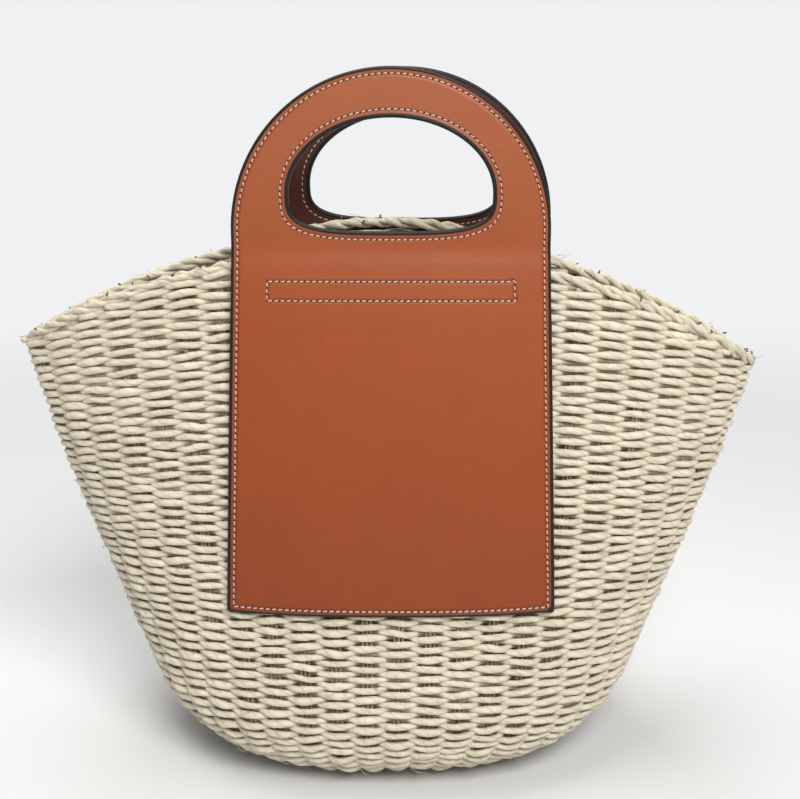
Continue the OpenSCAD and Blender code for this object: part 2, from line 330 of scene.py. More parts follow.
# %% [markdown]
# ## Leather groups
# Fine leather shows small round pores, a soft crumple and broad clouds of darker dye. A second
# group turns a distance in millimetres into a mask at the edge and a dent along the seam.
# %% Leather grain and edge groups
grain_group, given, result = new_group(
    "leather_grain", [("Place", VECTOR)], ["Height", "Mottle", "Pore"])
pores = grain_group.nodes.new("ShaderNodeTexVoronoi")
pores.inputs["Scale"].default_value = 1150
grain_group.links.new(given.outputs["Place"], pores.inputs["Vector"])
crumple, mottle, pore = (noise_node(grain_group, given.outputs["Place"], *looks)
                         for looks in ((520, 3, 0.6), (24, 4, 0.62), (260, 2, 0.5)))
height = math_node(grain_group, "MULTIPLY_ADD", pores.outputs["Distance"], 0.6, crumple)
for label, value in (("Height", height), ("Mottle", mottle), ("Pore", pore)):
    feed(grain_group, result.inputs[label], value)

edge_group, given, result = new_group(
    "edge_and_seam", [("Distance", FLOAT), ("Width", FLOAT), ("Seam", FLOAT)], ["Edge", "Dent"])
DENT_REACH = 1.5  # mm to each side of a seam
near = ranged(edge_group, given.outputs["Distance"], 0.0, given.outputs["Width"], 1, 0, smooth=True)
feed(edge_group, result.inputs["Edge"], near)
away = math_node(edge_group, "ABSOLUTE", math_node(
    edge_group, "SUBTRACT", given.outputs["Distance"], given.outputs["Seam"]))
dent = ranged(edge_group, away, 0.0, DENT_REACH, 1, 0, smooth=True)
feed(edge_group, result.inputs["Dent"], dent)
print("groups:", [g.name for g in bpy.data.node_groups])

# %% [markdown]
# ## Finishes
# The straw is twisted paper: matte, pale, a bit greener or browner from float to float. Its grooves
# and the side of a float that faces the stakes are darkened as painted shade, and the stakes' straw
# is darker still, as painted shade of the gaps. One function makes the material for the weave, the
# stakes and the border, each with its own colours.
# %% Straw finishes
def mix_color(tree, factor, a, b, blend="MIX"):
    node = tree.nodes.new("ShaderNodeMix")
    node.data_type, node.blend_type = "RGBA", blend
    for index, value in ((0, factor), (6, a), (7, b)):  # factor, A and B of a colour mix
        feed(tree, node.inputs[index], value)
    return node.outputs[2]


def attribute(tree, name):
    node = tree.nodes.new("ShaderNodeAttribute")
    node.attribute_name = name
    return node


def bump(tree, shader, height, distance, strength=1.0):
    node = tree.nodes.new("ShaderNodeBump")
    node.inputs["Strength"].default_value = strength
    node.inputs["Distance"].default_value = distance
    tree.links.new(height, node.inputs["Height"])
    tree.links.new(node.outputs[0], shader.inputs["Normal"])


# Painted shade: the side of a float that faces the stakes is darkened towards this colour.
STAKE_SIDE_SHADE = (0.040, 0.028, 0.011)  # the side of a float that faces the stakes stays dusky


def cord_material(name, pale, dull, groove_shade_color, turn, relief):
    """Tone 0 to 1 goes from pale to dull, and the side that faces the stakes adds up to 2 to it,
    which paints shade there.
    """
    material, tree, shader = new_material(name)
    strand = attribute(tree, "strand").outputs["Vector"]
    tone = attribute(tree, "tone").outputs["Fac"]
    twist = tree.nodes.new("ShaderNodeGroup")
    twist.node_tree = twist_group
    twist.inputs["Turn per mm"].default_value = turn
    tree.links.new(strand, twist.inputs["Strand"])
    # Painted shade: tone above 1 darkens the side of a float that faces the stakes.
    stake_side_shade = ranged(tree, tone, 1.0, 3.0)
    base = mix_color(tree, tone, pale, dull)
    streak = ranged(tree, twist.outputs["Fibre"], 0.35, 0.75, 0.0, 0.55)
    base = mix_color(tree, streak, base, dull)
    # Painted shade: the twist's grooves are darkened towards the groove shade colour.
    deep = math_node(tree, "MULTIPLY", math_node(tree, "POWER", twist.outputs["Groove"], 1.8), 0.5)
    base = mix_color(tree, deep, base, groove_shade_color)
    tree.links.new(mix_color(tree, stake_side_shade, base, STAKE_SIDE_SHADE), shader.inputs["Base Color"])
    shader.inputs["Roughness"].default_value = 0.78
    shader.inputs["Specular IOR Level"].default_value = 0.3
    bump(tree, shader, twist.outputs["Height"], relief)
    return material


straw = cord_material(
    "straw", (0.96, 0.88, 0.725), (0.82, 0.73, 0.55), (0.46, 0.37, 0.22), 0.34, 0.0011)
# Painted shade: the stakes' straw is coloured far darker than the weave's, for the deep gaps where
# they show.
stake_straw_in_shade = cord_material(
    "stake_cord", (0.50, 0.42, 0.26), (0.34, 0.28, 0.16), (0.16, 0.12, 0.06), 1.1, 0.0005)
border_straw = cord_material(
    "border_straw", (0.92, 0.84, 0.69), (0.72, 0.63, 0.46), (0.36, 0.28, 0.16), 0.5, 0.001)
print("straw finishes ready")

# %% [markdown]
# ## Leather, paint and thread
# The leather is smooth and tan with a fine grain, a darker line along its edges and a pressed
# dent under each row of stitches. Its sheets carry their distance to the edge and to the seam
# as attributes, so these lines follow every curve. The cut edges are painted black.
# %% Leather, paint and thread finishes
PAINT_BLACK = (0.013, 0.011, 0.011)
SEAM_IN = 3.4  # the edge seam's distance from the cut edge in mm


def leather_material(name, foot, chest, handle, edge_color, rough, relief):
    """Colours at the panel's foot, at its top, and on the handle; the leather is painted lighter
    upwards, for the light that falls from above.
    """
    material, tree, shader = new_material(name)
    place = tree.nodes.new("ShaderNodeTexCoord").outputs["Object"]
    height = tree.nodes.new("ShaderNodeSeparateXYZ")
    tree.links.new(place, height.inputs[0])
    grain = tree.nodes.new("ShaderNodeGroup")
    grain.node_tree = grain_group
    tree.links.new(place, grain.inputs["Place"])
    masks = []
    for field, seam in (("edge", SEAM_IN), ("frame", 0.0)):
        node = tree.nodes.new("ShaderNodeGroup")
        node.node_tree = edge_group
        node.inputs["Width"].default_value = 3.2
        node.inputs["Seam"].default_value = seam
        tree.links.new(attribute(tree, field).outputs["Fac"], node.inputs["Distance"])
        masks.append(node)
    dent = math_node(tree, "MAXIMUM", masks[0].outputs["Dent"], masks[1].outputs["Dent"])
    # Painted light: the colour grows lighter from the foot to the chest and the handle, as light from
    # above falls on it.
    color = mix_color(tree, ranged(tree, height.outputs[2], 0.11, 0.24), foot, chest)
    color = mix_color(tree, ranged(tree, height.outputs[2], 0.26, 0.39), color, handle)
    clouds = ranged(tree, grain.outputs["Mottle"], 0.35, 0.7, 0.0, 0.5)
    color = mix_color(tree, clouds, color, (0.86, 0.82, 0.78), "MULTIPLY")
    color = mix_color(tree, math_node(tree, "MULTIPLY", grain.outputs["Pore"], 0.4), color,
                      (0.80, 0.74, 0.70), "MULTIPLY")
    color = mix_color(tree, math_node(tree, "MULTIPLY", dent, 0.22), color, edge_color)
    color = mix_color(tree, math_node(tree, "MULTIPLY", masks[0].outputs["Edge"], 0.45), color,
                      edge_color)
    lap = ranged(tree, attribute(tree, "lap").outputs["Fac"], -0.12, 0.12, 1.0, 0.0)
    color = mix_color(tree, lap, color, PAINT_BLACK)
    tree.links.new(color, shader.inputs["Base Color"])
    tree.links.new(math_node(tree, "MULTIPLY_ADD", grain.outputs["Mottle"], 0.16, rough - 0.08),
                   shader.inputs["Roughness"])
    shader.inputs["Specular IOR Level"].default_value = 0.32
    bump(tree, shader, math_node(tree, "MULTIPLY_ADD", grain.outputs["Height"], 0.16,
                                 math_node(tree, "MULTIPLY", dent, -1.5)), relief)
    return material


tan = leather_material(
    "tan_leather", (0.262, 0.052, 0.0125), (0.318, 0.066, 0.0135), (0.365, 0.108, 0.044),
    (0.15, 0.026, 0.008), 0.46, 0.00032)
lining = leather_material(
    "dark_leather", (0.085, 0.025, 0.016), (0.095, 0.028, 0.018), (0.105, 0.031, 0.020),
    (0.03, 0.01, 0.008), 0.52, 0.0003)


def plain_finish(name, color, other, scale, rough, relief, gloss=0.5):
    material, tree, shader = new_material(name)
    shader.inputs["Specular IOR Level"].default_value = gloss
    place = tree.nodes.new("ShaderNodeTexCoord").outputs["Object"]
    patch = noise_node(tree, place, scale, 3)
    tree.links.new(mix_color(tree, patch, color, other), shader.inputs["Base Color"])
    tree.links.new(math_node(tree, "MULTIPLY_ADD", patch, 0.2, rough - 0.1),
                   shader.inputs["Roughness"])
    bump(tree, shader, patch, relief)
    return material


paint = plain_finish(
    "edge_paint", (0.010, 0.009, 0.010), (0.018, 0.016, 0.016), 400, 0.42, 0.00005, 0.24)
thread = plain_finish("thread", (0.70, 0.47, 0.37), (0.54, 0.34, 0.25), 1500, 0.7, 0.0001)
# Painted shade: the needle holes are dark buttons that stand for the shade inside each hole.
needle = plain_finish("needle_hole", (0.05, 0.02, 0.012), (0.03, 0.012, 0.01), 900, 0.8, 0.00005)
cut_end = plain_finish("cut_end", (0.16, 0.12, 0.06), (0.07, 0.05, 0.025), 900, 0.9, 0.0001)
print("materials:", len(bpy.data.materials))

# %% [markdown]
# ## Cords made from curves
# A cord is a curve with a small closed outline swept along it. Each point carries its own
# radius, which lets a float swell and taper. The finished mesh stores, at every vertex, where
# it lies on the cord's section and how far along the cord, and the straw finish reads both.
# %% Cord builder
def swept_section(name, width, height, sides, lobes=0.0):
    curve = bpy.data.curves.new(name, "CURVE")
    curve.dimensions = "2D"
    ring = curve.splines.new("POLY")
    ring.points.add(sides - 1)
    ring.use_cyclic_u = True
    for i, point in enumerate(ring.points):
        a = 2 * math.pi * i / sides
        r = 1 + lobes * math.cos(3 * a)
        point.co = (width * r * math.cos(a) * MM, height * r * math.sin(a) * MM, 0, 1)
    made = bpy.data.objects.new(name, curve)
    bpy.context.scene.collection.objects.link(made)
    return made


def sweep(name, runs, outline, cyclic=False):
    """One mesh of tubes along runs of (points in mm, radius factors)."""
    curve = bpy.data.curves.new(name, "CURVE")
    curve.dimensions, curve.twist_mode = "3D", "Z_UP"
    curve.bevel_mode, curve.bevel_object = "OBJECT", outline
    for points, radii in runs:
        line = curve.splines.new("POLY")
        line.points.add(len(points) - 1)
        line.use_cyclic_u = cyclic
        line.points.foreach_set("co", np.c_[points * MM, np.ones(len(points))].ravel())
        line.points.foreach_set("radius", radii)
    holder = bpy.data.objects.new(name, curve)
    bpy.context.scene.collection.objects.link(holder)
    ready = holder.evaluated_get(bpy.context.evaluated_depsgraph_get())
    mesh = bpy.data.meshes.new_from_object(ready)
    bpy.data.objects.remove(holder)
    bpy.data.curves.remove(curve)
    return mesh


def cord_object(name, runs, outline, material, cyclic=False):
    """Runs are (points, radii, distance along, tone, hidden side). Ends are closed."""
    mesh = sweep(name, [(r[0], r[1]) for r in runs], outline, cyclic)
    sides = len(outline.data.splines[0].points)
    along, tone = (np.concatenate([r[i] for r in runs]) for i in (2, 3))
    turn = np.tile(2 * np.pi * np.arange(sides) / sides, len(along))
    strand = np.c_[np.cos(turn), np.sin(turn), np.repeat(along, sides)]
    tone = np.repeat(tone, sides)
    # Painted shade: vertices on the side that faces the stakes get up to 2 more tone, which the straw
    # finish darkens.
    if len(runs[0]) > 4:
        spots = np.empty(3 * len(mesh.vertices))
        mesh.vertices.foreach_get("co", spots)
        middle, inward = (np.repeat(np.vstack([r[i] for r in runs]), sides, axis=0) for i in (0, 4))
        hidden = ((spots.reshape(-1, 3) / MM - middle) * inward).sum(axis=1)
        tone = tone + 2 * ((hidden - 0.1) / 0.9).clip(0, 1)
    mesh.attributes.new("strand", "FLOAT_VECTOR", "POINT").data.foreach_set("vector", strand.ravel())
    mesh.attributes.new("tone", "FLOAT", "POINT").data.foreach_set("value", tone)
    bm = bmesh.new()
    bm.from_mesh(mesh)
    if not cyclic:
        bmesh.ops.holes_fill(bm, edges=[e for e in bm.edges if e.is_boundary], sides=0)
    bmesh.ops.recalc_face_normals(bm, faces=bm.faces[:])
    bpy.data.meshes.remove(mesh)
    made = mesh_object(name, bm, material)
    print(name, "triangles:", sum(len(p.vertices) - 2 for p in made.data.polygons))
    return made


# %% [markdown]
# ## The weave
# One cord spirals from the middle of the base to the rim and passes in front of one stake and
# behind the next. With an odd number of stakes each round swaps over by itself, so the floats
# stand like bricks. Rows run nearly level, and the rim cuts across them towards the tips.
# %% Weaving cord
rng = np.random.default_rng(7)
STAKES, PITCH, STEPS = 45, 2.95, 8  # steps are points per float
SWAY = 1.8  # mm to each side of the stakes' circle
MIDDLE = WEAVE_T / 2
CLIMB_START, CLIMB_END = -46.0, 338.0
rounds = (CLIMB_END - CLIMB_START) / PITCH
step_no = np.arange(0, rounds * STAKES, 1 / STEPS)
climb = CLIMB_START + PITCH * step_no / STAKES
u = step_no / STAKES  # rounds made so far; the fraction is the share of the way round
float_no = np.floor(step_no + 0.5).astype(int)
luck = rng.normal(0, 1, (float_no.max() + 2, 4)).clip(-2.2, 2.2)
swing = np.cos(np.pi * step_no)
out = signed_power(swing, 0.78)
bulge = np.abs(swing)
depth = MIDDLE - SWAY * out - 0.32 * luck[float_no, 0] * bulge * np.sign(swing)
points, k = wall_point(u, climb, depth)
facing_out = wall_point(u, climb, depth - 1)[0] - points
row = u
wave = (0.55 * np.sin(2 * np.pi * (3 * u + 0.021 * row) + 1.0)
        + 0.4 * np.sin(2 * np.pi * (8 * u - 0.05 * row) + 2.2)
        + 0.28 * np.sin(2 * np.pi * (19 * u + 0.11 * row)))
lean = (step_no - float_no) * 1.5 * luck[float_no, 1]
uneven = wave + lean * bulge + (0.3 + 0.27 * luck[float_no, 2]) * bulge
lift = np.clip((climb - 6) / 20, 0, 1) * uneven
points[:, 2] += lift
size = (0.78 + 0.22 * bulge ** 0.8) * (1 + 0.10 * luck[float_no, 3] * bulge)
size *= 1 + 0.035 * rng.normal(0, 1, len(step_no)).clip(-2, 2)
# The side of each float that faces the stakes, where the straw finish paints shade.
hidden_side = -facing_out * signed_power(swing, 0.6)[:, None]
tone = (0.30 + 0.2 * luck[float_no, 0] + 0.1 * np.sin(row * 0.9)).clip(0, 1)
kept = points[:, 2] < rim_top(k, points[:, 1]) - BORDER_H + 0.8
along = step_no * (girth_table[0] + girth_table[-1]) / 2 / STAKES
weft_outline = swept_section("weft_outline", 1.95, 2.08, 8, 0.03)


def runs_between(first, last):
    runs, start = [], None
    for i in range(first, last + 1):
        inside = i < last and kept[i]
        if inside and start is None:
            start = i
        if not inside and start is not None:
            stop = min(i + 1, len(kept)) if i == last else i
            if stop - start > 3:
                cut = slice(start, stop)
                runs.append((points[cut], size[cut], along[cut], tone[cut], hidden_side[cut]))
            start = None
    return runs


marks = [0] + [int(np.searchsorted(climb, c)) for c in (30, 108, 186, 262)] + [len(climb)]
weave_names = ["weave_base", "weave_turn", "weave_low", "weave_high", "weave_top"]
weave = [cord_object(name, runs_between(a, b), weft_outline, straw)
         for name, a, b in zip(weave_names, marks, marks[1:])]

# %% [markdown]
# ## Stakes
# Each stake is a bundle of three thin cords that runs from the base up the wall. It only shows as
# dark lines in the gaps between the floats, but without it the gaps would look empty. Its straw is
# coloured much darker than the weave's, as painted shade of these gaps.
# %% Stakes and the base's core
stake_outline = swept_section("stake_outline", 0.85, 0.85, 6)
STAKE_FROM, STAKE_TO, STAKE_SPACING = -44, 342, 1.75
stake_climb = np.r_[np.linspace(STAKE_FROM, 0, 7), np.linspace(8, 75, 9),
                    np.linspace(84, STAKE_TO, 31)]
girth = np.interp(stake_climb, (STAKE_FROM, 0, STAKE_TO),
                  (110, girth_table[0] * 0.6, girth_table[-1]))
runs = []
for s in range(STAKES):
    for side in (-1, 0, 1):
        spot = s / STAKES + side * STAKE_SPACING / girth
        line, k = wall_point(spot, stake_climb, np.full(len(stake_climb), MIDDLE + 0.3 * abs(side)))
        line = line[line[:, 2] < rim_top(k, line[:, 1]) - 3.5]
        length = np.r_[0, np.cumsum(np.linalg.norm(np.diff(line, axis=0), axis=1))]
        shade = np.full(len(line), rng.uniform(0, 1))
        runs.append((line, np.full(len(line), rng.uniform(0.85, 1.15)), length, shade))
stakes = cord_object("stake_cords", runs, stake_outline, stake_straw_in_shade)
CORE_HALF, CORE_POINTS = 31, 24
core_x = np.linspace(-CORE_HALF, CORE_HALF, CORE_POINTS)
flat, shade = np.ones(CORE_POINTS), np.full(CORE_POINTS, 0.4)
runs = [(np.c_[core_x, flat * y, flat * MIDDLE], flat, core_x, shade) for y in (-2.0, 2.0)]
core = cord_object("base_core", runs, weft_outline, straw)

# %% [markdown]
# ## Rim border
# At the rim the stakes are bent over and worked into a rope-like edge as thick as the weave.
# Three strands wind round each other along the rim.
# %% Border rope
RIM_LEVEL = 290.0  # the way round the rim is shared out at this height
turns = 23
way = np.linspace(0, 1, turns * 24, endpoint=False)
border_a = angle_at(way, np.full(len(way), RIM_LEVEL))
border_k = signed_power(np.cos(border_a), 2 / SWEEP)
border_outline = swept_section("border_outline", 1.75, 1.7, 8, 0.03)
runs = []
for strand_no in range(3):
    phase = 2 * np.pi * (way * turns + strand_no / 3) + 0.7 * np.sin(2 * np.pi * way * 11)
    rough = sum(rng.uniform(0.3, 0.7) * np.sin(2 * np.pi * (way * f + rng.uniform()))
                for f in (29, 53, 83))
    z = rim_top(border_k, np.sin(border_a)) - 3.7 + 1.5 * np.sin(phase) + 0.5 * rough
    x, y = section(border_a, z, MIDDLE + 2.2 * np.cos(phase))
    length = way * girth_table[-1]
    shade = (0.35 + 0.25 * rough).clip(0, 1)
    runs.append((np.c_[x, y, z], 1 + 0.12 * rough, length, shade))
border = cord_object("rim_rope", runs, border_outline, border_straw, cyclic=True)

# %% [markdown]
# ## Loose fibres and cut ends
# Hand work leaves traces: short fibres stand off the rim and the wall, and the cut ends of the
# bent stakes show as small dark dots. They are few and short, and their places come from a
# seeded generator, so the lesson gives the same bag each time.
# %% Loose fibres and cut ends
RIM_FIBRES, WALL_FIBRES, MEAN_GIRTH = 190, 150, 850
fibre_outline = swept_section("fibre_outline", 0.30, 0.22, 5)
runs = []
for _ in range(RIM_FIBRES):
    spot, length = rng.uniform(0, 1), rng.uniform(3, 8)
    a = angle_at(np.full(1, spot), np.full(1, RIM_LEVEL))[0]
    k = signed_power(np.cos(a), 2 / SWEEP)
    z0 = rim_top(k, math.sin(a)) - rng.uniform(0.5, 6)
    x, y = section(a, z0, rng.choice([0.3, 7.7]) + rng.normal(0, 0.6))
    slide = rng.normal(0, 1, 3) * (0.9, 0.35, 0.25)
    t = np.linspace(0, 1, 6)[:, None]
    bend = rng.normal(0, 0.35, 3) * (1, 1, 0.6)
    line = np.array([x, y, z0]) + length * (t * slide + t ** 2 * (bend + (0, 0, 0.12))) / 1.4
    line[:, 2] = np.minimum(line[:, 2], rim_top(k, math.sin(a)) + 3.5)
    runs.append((line, np.linspace(1, 0.35, 6), t[:, 0] * length, np.full(6, rng.uniform(0, 0.8))))
for _ in range(WALL_FIBRES):
    spot, up = rng.uniform(0, 1), rng.uniform(30, 300)
    flat = rng.uniform(4, 12) / MEAN_GIRTH
    t = np.linspace(0, 1, 6)
    round_to = spot + t * flat * rng.choice([-1, 1])
    climb_to = up + t * rng.normal(0, 2.5)
    line, k = wall_point(round_to, climb_to, 1.1 - 2.6 * np.sin(np.pi * t * rng.uniform(0.5, 0.95)))
    if (line[:, 2] < rim_top(k, line[:, 1]) - 3).all():
        runs.append((line, np.linspace(1, 0.5, 6), t * 10, np.full(6, rng.uniform(0, 0.8))))
fibres = cord_object("loose_fibres", runs, fibre_outline, straw)
bm = bmesh.new()
for s in range(STAKES * 2):
    a = angle_at(np.full(1, (s + rng.uniform(-0.4, 0.4)) / STAKES / 2), np.full(1, RIM_LEVEL))[0]
    z = rim_top(signed_power(np.cos(a), 2 / SWEEP), math.sin(a)) - rng.uniform(0.5, 3.5)
    x, y = section(a, z, rng.choice([0.6, 4, 7.2]) + rng.normal(0, 0.7))
    tilt = Matrix.Rotation(rng.normal(0, 0.5), 4, "X") @ Matrix.Rotation(rng.normal(0, 0.6), 4, "Y")
    spot = Matrix.Translation(Vector((x, y, z)) * MM)
    bmesh.ops.create_cone(bm, cap_ends=True, segments=7, radius1=0.6 * MM, radius2=0.5 * MM,
                          depth=rng.uniform(1.6, 2.6) * MM, matrix=spot @ tilt)
cut_ends = mesh_object("cut_stake_ends", bm, cut_end, smooth=False)
print("cut ends:", STAKES * 2)

# %% [markdown]
# ## Leather: cut flat, then laid on the bag
# A bag maker cuts the panel and its handle from one piece of leather. The same is done here:
# every leather piece is drawn flat, with v = 0 on the flex line, and one function lays it on
# the wall below that line and on the handle's plane above it. The back is its mirror image.
# %% Laying a flat pattern on the bag
FLEX_Z, FLEX_Y, LEAN, STACK = 305, 29.29, 2, 4.0
FOOT_Z, FOOT_HALF, TOP_HALF, BACK_SHIFT = 107, 90.5, 86, 7
ARCH_RISE, HOLE_W, HOLE_H, HOLE_RISE = 6, 110, 60, 6.5
OUTER_FROM = 2.6  # depth in the stack at which the outer leather starts
FLATTEN_Z, TAB_Z = 275, 269  # the wall's curve flattens out above, the tab starts here
FOOT_GAP, GAP_GROWTH = 0.6, 2.8  # the panel's gap to the wall at its foot, and how it grows
BEND_FROM, BEND_LENGTH = -11, 15  # stretch of v in which the wall's lie turns into the arch's


def wall_depth(x, z):
    return half_depth(z) * (1 - (np.abs(x) / half_length(z)) ** SWEEP) ** closing(z)


def eased(t):
    t = np.clip(t, 0, 1)
    return t * t * (3 - 2 * t)


def lay(points, back=False):
    """Flat pattern (u, v, depth of the stack) in mm to the bag, in metres."""
    u, v, w = points.T
    z = FLEX_Z + np.minimum(v, 12)
    up = np.clip((z - FOOT_Z) / (FLEX_Z - FOOT_Z), 0, 1)
    x = u * (FOOT_HALF + (TOP_HALF - FOOT_HALF) * up) / TOP_HALF
    flat = np.clip((z - FLATTEN_Z) / (FLEX_Z - FLATTEN_Z), 0, 1)
    at = x + BACK_SHIFT if back else x
    wall = wall_depth(at, z) * (1 - flat) + wall_depth(0, z) * flat
    gap = FOOT_GAP + GAP_GROWTH * np.clip((z - FOOT_Z) / (TAB_Z - FOOT_Z), 0, 1)
    on_wall = np.c_[x, -wall - gap - (w - OUTER_FROM), z]
    a = math.radians(90 - LEAN)
    on_arch = np.c_[u, -FLEX_Y + v * math.cos(a) - (w - STACK / 2) * math.sin(a),
                    FLEX_Z + v * math.sin(a) + (w - STACK / 2) * math.cos(a)]
    t = eased((v - BEND_FROM) / BEND_LENGTH)[:, None]
    made = on_wall * (1 - t) + on_arch * t
    if back:
        made = made * (1, -1, 1) + (BACK_SHIFT, 0, 0)
    return made * MM


def outline_loop(inset=0.0, foot_v=FOOT_Z - FLEX_Z, corner=1.6):
    """The pattern's outer edge, anticlockwise from the foot's left corner."""
    r, low = TOP_HALF - inset, foot_v + inset
    q = max(corner - inset, 0.4)
    turn = np.radians(np.linspace(0, 90, 6))
    left = np.c_[-r + q - q * np.cos(turn), low + q - q * np.sin(turn)]
    right = np.c_[r - q + q * np.sin(turn), low + q - q * np.cos(turn)]
    sides = np.linspace(low + q, ARCH_RISE, 30)[1:-1]
    arc = np.radians(np.linspace(0, 180, 72))
    return np.vstack([left, right, np.c_[np.full(28, r), sides],
                      np.c_[r * np.cos(arc), ARCH_RISE + r * np.sin(arc)],
                      np.c_[np.full(28, -r), sides[::-1]]])


def hole_loop(grow=0.0, count=72):
    half, up, down = HOLE_W / 2 + grow, HOLE_H - 20 + grow, 20 + grow
    a = np.linspace(0, 2 * np.pi, count * 2, endpoint=False)
    c, s = np.cos(a), np.sin(a)
    x = np.where(s >= 0, half * c, half * signed_power(c, 2 / 3.4))
    y = HOLE_RISE + 20 + np.where(s >= 0, up * s, down * signed_power(s, 2 / 3.4))
    return np.c_[x, y]


def distance_to(loops, flat):
    """Shortest distance in mm from flat points to the edges of closed loops."""
    best = np.full(len(flat), 1e9)
    for loop in loops:
        for a, b in zip(loop, np.roll(loop, -1, axis=0)):
            d = b - a
            t = np.clip(((flat - a) @ d) / max(d @ d, 1e-9), 0, 1)[:, None]
            best = np.minimum(best, np.linalg.norm(flat - a - t * d, axis=1))
    return best


print("pattern edge in mm:", round(np.linalg.norm(np.diff(outline_loop(), axis=0), axis=1).sum()))

# %% [markdown]
# ## Leather sheets
# A flat curve with a hole fills itself, gets a thickness and a small rounded edge, and becomes
# a mesh. Cutting it along a grid gives it enough points to bend smoothly when it is laid on
# the bag. Each point also keeps its distances to the edge and the stitched frame, for the
# dents and the darker rim, and to the line up to which the edge paint laps over.
# %% Sheet cutter
ANCHOR_LOW, ANCHOR_HIGH, ANCHOR_HALF = 275.45 - FLEX_Z, 285.55 - FLEX_Z, 66.5
EDGE_LAP, HOLE_LAP, GRID = 1.15, 1.5, 3.4  # mm
FAR = 50.0  # a distance at which no mask shows


def laid_mesh(bm, back):
    """Lays a flat bmesh, in mm, on the bag."""
    flat = np.array([v.co[:] for v in bm.verts])
    for vert, place in zip(bm.verts, lay(flat, back)):
        vert.co = place
    bmesh.ops.recalc_face_normals(bm, faces=bm.faces[:])
    return flat


def leather_sheet(name, loops, low, high, round_edge, back, material):
    curve = bpy.data.curves.new(name, "CURVE")
    curve.dimensions, curve.fill_mode = "2D", "BOTH"
    curve.extrude, curve.bevel_depth = (high - low) / 2 - round_edge, round_edge
    curve.bevel_resolution, curve.offset = 2, -round_edge
    for loop in loops:
        line = curve.splines.new("POLY")
        line.points.add(len(loop) - 1)
        line.use_cyclic_u = True
        line.points.foreach_set("co", np.c_[loop, np.zeros(len(loop)), np.ones(len(loop))].ravel())
    holder = bpy.data.objects.new(name, curve)
    bpy.context.scene.collection.objects.link(holder)
    ready = holder.evaluated_get(bpy.context.evaluated_depsgraph_get())
    mesh = bpy.data.meshes.new_from_object(ready)
    bpy.data.objects.remove(holder)
    bm = bmesh.new()
    bm.from_mesh(mesh)
    bmesh.ops.remove_doubles(bm, verts=bm.verts[:], dist=0.01)
    bmesh.ops.translate(bm, verts=bm.verts[:], vec=(0, 0, (low + high) / 2))
    lowest = min(v.co.y for v in bm.verts)
    cuts = [(0, c) for c in np.arange(-85, 86, GRID)]
    cuts += [(1, c) for c in np.arange(lowest + 3, 91, GRID)]
    if lowest < ANCHOR_LOW:
        cuts += [(1, ANCHOR_LOW), (1, ANCHOR_HIGH), (0, -ANCHOR_HALF), (0, ANCHOR_HALF)]
    for axis, value in cuts:
        spot, way = [0, 0, 0], [0, 0, 0]
        spot[axis], way[axis] = value, 1
        bmesh.ops.bisect_plane(bm, geom=bm.verts[:] + bm.edges[:] + bm.faces[:], dist=1e-4,
                               plane_co=spot, plane_no=way)
    flat = laid_mesh(bm, back)[:, :2]
    made = mesh_object(name, bm, material)
    edge = distance_to(loops, flat)
    middle, half = (ANCHOR_LOW + ANCHOR_HIGH) / 2, (ANCHOR_HIGH - ANCHOR_LOW) / 2
    aside = np.maximum(np.abs(flat[:, 0]) - ANCHOR_HALF, np.abs(flat[:, 1] - middle) - half)
    if high < STACK:  # the lining has no stitched frame
        aside = np.full(len(flat), FAR)
    lap = np.minimum(distance_to(loops[:1], flat) - EDGE_LAP, distance_to(loops[1:], flat) - HOLE_LAP)
    for label, values in (("edge", edge), ("frame", aside), ("lap", lap)):
        made.data.attributes.new(label, "FLOAT", "POINT").data.foreach_set("value", values)
    print(name, "faces:", len(made.data.polygons))
    return made


SIDES = (("front", False), ("back", True))
LINING_FOOT = -36  # v at which the lining ends under the panel
leather = {}
for side, back in SIDES:
    leather[side] = [
        leather_sheet(side + "_leather", [outline_loop(0.35), hole_loop(0.35)],
                      OUTER_FROM, STACK, 0.4, back, tan),
        leather_sheet(side + "_lining", [outline_loop(0.5, LINING_FOOT), hole_loop(0.5)],
                      0.0, 2.5, 0.3, back, lining)]

# %% [markdown]
# ## Painted edges
# The cut edges are rounded over and painted black in several coats. The bead is thin round
# the single leather of the panel and grows to the full stack where lining and board join in,
# just under the rim.
# %% Edge paint
BEAD_IN, BEAD_GROWS_FROM, BEAD_GROWS_OVER = 0.95, -42, 7
bead_outline = swept_section("bead_outline", 1300, 1000, 10)
for side, back in SIDES:
    bm = bmesh.new()
    for loop in (outline_loop(BEAD_IN), hole_loop(BEAD_IN)):
        mesh = sweep(side + "_bead", [(np.c_[loop, np.zeros(len(loop))] / MM, np.ones(len(loop)))],
                     bead_outline, cyclic=True)
        bm.from_mesh(mesh)
        bpy.data.meshes.remove(mesh)
    for vert in bm.verts:
        grown = eased((vert.co.y - BEAD_GROWS_FROM) / BEAD_GROWS_OVER)
        vert.co.z = (3.3 - 1.3 * grown) + vert.co.z * (0.80 + 1.33 * grown)
    laid_mesh(bm, back)
    bead = mesh_object(side + "_edge_paint", bm, paint)
    leather[side].append(bead)
    print(bead.name, "faces:", len(bead.data.polygons))

# %% [markdown]
# ## Stitches
# A saddle stitch sits in its row like a grain of rice, a little slanted, between two needle holes.
# Each one is a short tapered cord of a few dozen faces that dips into the leather at both ends, and a
# small dark button, painted shade, stands for each hole. All are swept in one go.
# %% Stitch rows
STITCH_PITCH, STITCH_REACH, STITCH_SLANT = 3.35, 1.36, 0.15


